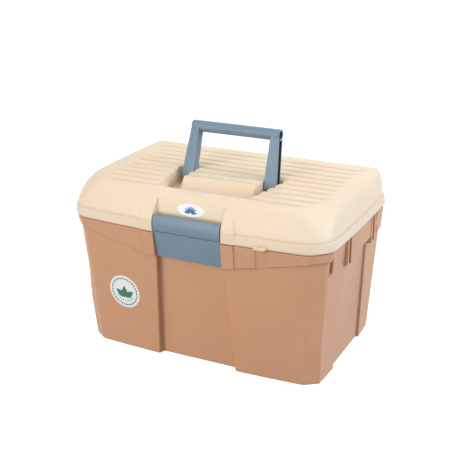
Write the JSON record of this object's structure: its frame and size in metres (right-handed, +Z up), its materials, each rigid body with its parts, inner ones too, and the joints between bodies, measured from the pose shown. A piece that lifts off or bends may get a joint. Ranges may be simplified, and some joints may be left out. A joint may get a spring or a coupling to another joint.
{
  "type": "horse grooming box",
  "caption": "Moulded plastic grooming box: drafted tub, hinged domed lid with folding handle, front swing latch, padlock eye and lift-out tray.",
  "frame": {"origin": "middle of the foot, on the surface that the box stands on", "axes": "+X to the right seen from the front, +Y to the back, +Z up"},
  "size_m": [0.4, 0.2816, 0.3154],
  "materials": {
    "tan_shell": "moulded, satin",
    "cream_shell": "moulded, satin",
    "blue_fittings": "moulded, satin",
    "pin_steel": "drawn wire",
    "label_film": "printed film"
  },
  "bodies": {
    "tub_body": {"tub": "tan_shell", "hinge_pins": "pin_steel", "round_label": "label_film"},
    "lid_body": {"lid": "cream_shell", "latch_pin": "pin_steel", "oval_label": "label_film"},
    "handle_body": {"handle": "blue_fittings"},
    "latch_body": {"latch": "blue_fittings"},
    "tray_body": {"insert_tray": "cream_shell"}
  },
  "joints": [
    {"name": "lid_hinge", "type": "hinge", "parent": "tub_body", "child": "lid_body", "pos_m": [0, 0.1395, 0.1993], "axis": [-1, 0, 0], "range_deg": [0, 105]},
    {"name": "handle_fold", "type": "hinge", "parent": "lid_body", "child": "handle_body", "pos_m": [0, -0.001, 0.2383], "axis": [1, 0, 0], "range_deg": [0, 111]},
    {"name": "latch_swing", "type": "hinge", "parent": "lid_body", "child": "latch_body", "pos_m": [0, -0.126, 0.2158], "axis": [-1, 0, 0], "range_deg": [0, 85]},
    {"name": "tray_lift", "type": "slide", "parent": "tub_body", "child": "tray_body", "axis": [0, 0, 1], "range_m": [0, 0.03]}
  ]
}
